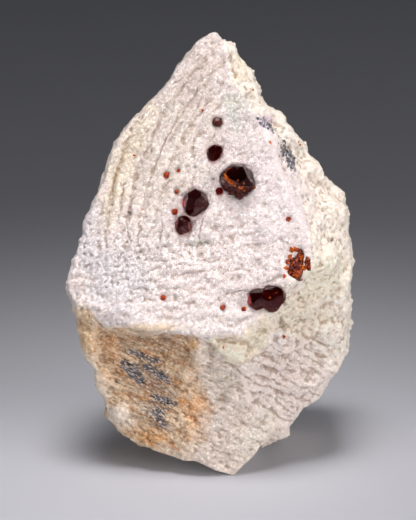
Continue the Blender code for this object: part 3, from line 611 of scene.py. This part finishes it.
# each grain's own tilt, over a fine roughness
fineGrains = addNode(tree, "TexVoronoi", {"Vector": inMm, "Scale": 1 / grain["fineSize"]}).outputs["Distance"]
height = addNode(tree, "Math", {0: fineGrains, 1: -0.5, 2: seams}, operation="MULTIPLY_ADD").outputs[0]
bumped = addNode(tree, "Bump", {"Height": height, "Strength": 0.48, "Distance": 0.35 * mm}).outputs["Normal"]
tilted = addNode(tree, "VectorMath", {0: cells["Color"], 1: (0.5, 0.5, 0.5)}, operation="SUBTRACT").outputs["Vector"]
tilted = addNode(tree, "VectorMath", {
    0: tilted, 1: (grain["tilt"],) * 3, 2: bumped}, operation="MULTIPLY_ADD").outputs["Vector"]
tilted = addNode(tree, "VectorMath", {0: tilted}, operation="NORMALIZE").outputs["Vector"]
tree.links.new(tilted, surface.inputs["Normal"])
surface.inputs["IOR"].default_value = 1.53
rockPiece.data.materials.append(albite)

garnets = {
    "bevel": 0.06,          # mm; the slight rounding of the crystals' edges
    "grainsUnder": 2.0,     # mm; crystals smaller than this look like red grains
    "eaten": ["garnet_top"],    # whole crystals with dull, eaten faces
    "cuts": 7,              # how finely the etched crystals' faces are cut up
    "etched": {             # how deep, in mm, and above which height share a face stays whole
        "garnet_large": (0.22, 0.42), "garnet_broken": (0.45, 2.0), "garnet_pair": (0.05, 0.3),
    },
}
# Almandine garnet, grown with flat faces: a clear deep red that is nearly black where it
# is thick
almandine, tree, surface = newMaterial("almandine garnet crystal")
surface.inputs["Base Color"].default_value = linear("#F2C4BC")
surface.inputs["Roughness"].default_value = 0.08
surface.inputs["IOR"].default_value = 1.79
surface.inputs["Specular IOR Level"].default_value = 0.14
surface.inputs["Specular Tint"].default_value = linear("#D88A90")
surface.inputs["Transmission Weight"].default_value = 1.0
body = addNode(tree, "VolumeAbsorption", {"Color": (0.92, 0.12, 0.03, 1.0), "Density": 2600.0})
tree.links.new(body.outputs["Volume"], tree.nodes["Material Output"].inputs["Volume"])


def patchyGarnet(name, deep, bright, patchSize, roughness, clear):
    # garnet in two tones of its red, in patches of about the given size in mm
    material, tree, surface = newMaterial(name)
    place = addNode(tree, "TexCoord").outputs["Object"]
    patches = addNode(tree, "TexNoise", {
        "Vector": place, "Scale": 1 / (patchSize * mm), "Detail": 2.0}).outputs["Fac"]
    share = addNode(tree, "MapRange", {
        "Value": patches, "From Min": 0.40, "From Max": 0.62}).outputs["Result"]
    colour = addNode(tree, "Mix", {"Factor": share, "A": linear(deep), "B": linear(bright)},
                     data_type="RGBA").outputs["Result"]
    tree.links.new(colour, surface.inputs["Base Color"])
    surface.inputs["Roughness"].default_value = roughness
    surface.inputs["IOR"].default_value = 1.79
    surface.inputs["Specular IOR Level"].default_value = 0.08
    surface.inputs["Transmission Weight"].default_value = clear
    return material


# Almandine garnet in grains of a millimetre: thin enough to glow orange-red
grainGarnet = patchyGarnet("almandine garnet grain", "#7A1A10", "#CC4A16", 0.62, 0.25, 0.25)
# Almandine garnet with eaten faces: dark, uneven and hardly clear, with rusty patches
eatenGarnet = patchyGarnet("etched almandine garnet", "#2A0606", "#6C1C10", 0.55, 0.34, 0.15)
# Garnet crumbs rusted through: orange, matt and opaque
crumbGarnet = patchyGarnet("rusty garnet crumbs", "#8E2C10", "#E07C2A", 0.45, 0.4, 0.0)

# Almandine garnet broken across: dark red inside, rusty orange on its cracked edges
crackedGarnet, tree, surface = newMaterial("cracked almandine garnet")
place = addNode(tree, "TexCoord").outputs["Object"]
cracks = addNode(tree, "TexVoronoi", {"Vector": place, "Scale": 1.1 / mm}, feature="DISTANCE_TO_EDGE")
patches = addNode(tree, "TexNoise", {"Vector": place, "Scale": 0.9 / mm, "Detail": 3.0}).outputs["Fac"]
edges = addNode(tree, "MapRange", {
    "Value": cracks.outputs["Distance"], "From Max": 0.16, "To Min": 0.26, "To Max": 0.0}).outputs["Result"]
share = addNode(tree, "Math", {0: patches, 1: edges}, operation="ADD").outputs[0]
share = addNode(tree, "MapRange", {"Value": share, "From Min": 0.50, "From Max": 0.74}).outputs["Result"]
colour = addNode(tree, "Mix", {"Factor": share, "A": linear("#460A0A"), "B": linear("#D05A22")},
                 data_type="RGBA").outputs["Result"]
tree.links.new(colour, surface.inputs["Base Color"])
surface.inputs["Roughness"].default_value = 0.32
surface.inputs["IOR"].default_value = 1.79
surface.inputs["Specular IOR Level"].default_value = 0.12
surface.inputs["Transmission Weight"].default_value = 0.15



def etch(crystal, depth, wholeAbove):
    # eats into a crystal's lower faces, leaving the upper ones flat; says which faces it ate
    selectOnly(crystal)
    bpy.ops.object.mode_set(mode="EDIT")
    bpy.ops.mesh.select_all(action="SELECT")
    bpy.ops.mesh.subdivide(number_cuts=garnets["cuts"])
    bpy.ops.object.mode_set(mode="OBJECT")
    points, normals = readPoints(crystal.data), readPoints(crystal.data, "normal")
    low, high = points[:, 2].min(), points[:, 2].max()
    share = smoothStep(wholeAbove + 0.08, wholeAbove - 0.08, (points[:, 2] - low) / (high - low))
    rough = np.array([grains(Vector(point) / mm, 0.8, 1.5) - 0.4 for point in points.tolist()])
    points += normals * (share * rough * depth * mm)[:, None]
    crystal.data.vertices.foreach_set("co", points.ravel())
    crystal.data.update()
    return [face for face in crystal.data.polygons if share[list(face.vertices)].mean() > 0.5]


crystals = []
for nodeName in sorted(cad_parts):
    if not nodeName.startswith("garnet"):
        continue
    low, high = (Vector(corner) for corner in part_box(nodeName))
    small = (high - low).length < math.sqrt(3) * garnets["grainsUnder"] * mm
    crystal = copyOfNode(nodeName, nodeName.replace("garnet", "crystal"))
    applyModifier(crystal, "BEVEL", width=garnets["bevel"] * mm, segments=1,
                  limit_method="ANGLE", angle_limit=math.radians(12))
    kind = grainGarnet if small else almandine
    if nodeName == "garnet_broken":
        kind = crackedGarnet
    elif nodeName in garnets["eaten"]:
        kind = eatenGarnet
    crystal.data.materials.append(kind)
    if nodeName in garnets["etched"]:
        eatenFaces = etch(crystal, *garnets["etched"][nodeName])
        if kind == almandine:
            crystal.data.materials.append(eatenGarnet)
            for face in eatenFaces:
                face.material_index = 1
    selectOnly(crystal)
    bpy.ops.object.shade_flat()
    crystals.append(crystal)
print("garnets cut:", len(crystals))

# tiny orange grains: place on the board and radius, in mm
orangeGrains = [
    (-8.45, 91.5, 0.22), (-25.65, 80.4, 0.22), (8.25, 83.4, 0.22), (15.7, 83.2, 0.2),
    (15.4, 83.8, 0.16), (-23.65, 66.8, 0.16), (11.65, 35.1, 0.3), (-0.5, 99.7, 0.16),
    (4.0, 96.8, 0.2), (-3.4, 32.5, 0.2),
    # flaws in the largest crystal's lower left, its lower edge, and in its neighbour
    (-2.7, 74.5, 0.42), (-1.8, 73.7, 0.46), (-3.1, 75.4, 0.24), (-0.8, 73.0, 0.3), (0.9, 72.2, 0.36),
    (1.7, 71.5, 0.24), (-2.0, 76.8, 0.26), (-2.7, 76.1, 0.16), (4.3, 72.3, 0.26), (0.1, 73.9, 0.16),
    (1.6, 73.2, 0.14), (8.0, 45.0, 0.2), (9.6, 46.2, 0.12),
    # the crumbs round the broken crystal
    (13.5, 56.7, 0.4), (15.5, 56.5, 0.35), (12.5, 53.7, 0.4), (12.2, 52.2, 0.35), (16.8, 53.8, 0.5),
    (16.5, 52.4, 0.4), (15.7, 54.8, 0.45), (13.0, 55.2, 0.35), (14.6, 50.4, 0.4), (11.6, 50.2, 0.3),
    (15.9, 49.3, 0.25), (14.3, 57.2, 0.3),
]
trees = [BVHTree.FromPolygons([vertex.co for vertex in piece.data.vertices],
                              [polygon.vertices[:] for polygon in piece.data.polygons])
         for piece in [rockPiece] + crystals]
bpy.ops.object.select_all(action="DESELECT")
flecks = []
for across, up, radius in orangeGrains:
    hits = [tree.ray_cast(onBoard(across, up, -40), -boardNormal) for tree in trees]
    point, facing, _, _ = min((hit for hit in hits if hit[0]), key=lambda hit: hit[3])
    bpy.ops.mesh.primitive_ico_sphere_add(subdivisions=3, radius=1.35 * radius * mm)
    fleck = bpy.context.object
    turn = facing.to_track_quat("Z", "Y")
    for vertex in fleck.data.vertices:
        swell = 1 + 1.3 * noise.noise(vertex.co / mm * 3.5 + Vector((across, up, 0)))
        flat = Vector((vertex.co.x, vertex.co.y, 0.6 * vertex.co.z)) * swell
        vertex.co = point + turn @ flat
    fleck.location = (0, 0, 0)
    flecks.append(fleck)
for fleck in flecks:
    fleck.select_set(True)
bpy.context.view_layer.objects.active = flecks[0]
bpy.ops.object.join()
grainsPiece = bpy.context.object
grainsPiece.name = "orange_grains"
grainsPiece.data.materials.append(crumbGarnet)
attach(grainsPiece, "root")
print("orange grains laid:", len(flecks))

studio = {
    "distance": 0.9,                    # m from the camera to the rock
    "frameHeight": 0.130,               # m of the board that the picture is high
    "centre": (-7.25, 54.25, -6.0),     # the middle of the picture, on the board
}
bpy.ops.mesh.primitive_plane_add(size=6.0, location=(0, 0, 0))
floor = bpy.context.object
floor.name = "floor"
# matt photo studio paper: pale, no gloss
paper, tree, surface = newMaterial("matt studio paper")
surface.inputs["Base Color"].default_value = linear("#B9BCC3")
surface.inputs["Roughness"].default_value = 0.9
floor.data.materials.append(paper)


def addPanel(name, azimuth, elevation, distance, size, power, spread=180, aim=(0, -0.02, 0.05)):
    # a soft rectangular light; a grid can narrow its beam
    aim = Vector(aim)
    turn, rise = math.radians(azimuth), math.radians(elevation)
    away = Vector((math.sin(turn) * math.cos(rise), -math.cos(turn) * math.cos(rise), math.sin(rise)))
    bpy.ops.object.light_add(type="AREA", location=aim + away * distance)
    panel = bpy.context.object
    panel.name = name
    panel.data.shape = "RECTANGLE"
    panel.data.size, panel.data.size_y = size
    panel.data.energy = power
    panel.data.color = (1.0, 0.95, 0.95)
    panel.data.spread = math.radians(spread)
    panel.rotation_euler = away.to_track_quat("Z", "Y").to_euler()


addPanel("key panel", 48, 15, 0.75, (0.7, 0.40), 3.9)
addPanel("front panel", -36, 12, 0.80, (0.9, 0.36), 1.9)
addPanel("top panel", 0, 82, 0.55, (0.24, 0.24), 0.19, 36, aim=(-0.02, -0.045, 0))
world = bpy.data.worlds.new("studio")
bpy.context.scene.world = world
world.use_nodes = True
world.node_tree.nodes["Background"].inputs["Color"].default_value = linear("#D8DCE4")
world.node_tree.nodes["Background"].inputs["Strength"].default_value = 0.05

bpy.ops.object.camera_add(location=onBoard(*studio["centre"]) + boardNormal * studio["distance"])
camera = bpy.context.object
camera.rotation_euler = boardNormal.to_track_quat("Z", "Y").to_euler()
camera.data.sensor_fit = "VERTICAL"
camera.data.sensor_height = 36
camera.data.lens = 36 * studio["distance"] / studio["frameHeight"]
camera.data.clip_start = 0.01
bpy.context.scene.camera = camera
bpy.context.scene.view_settings.view_transform = "Standard"
print("studio set")
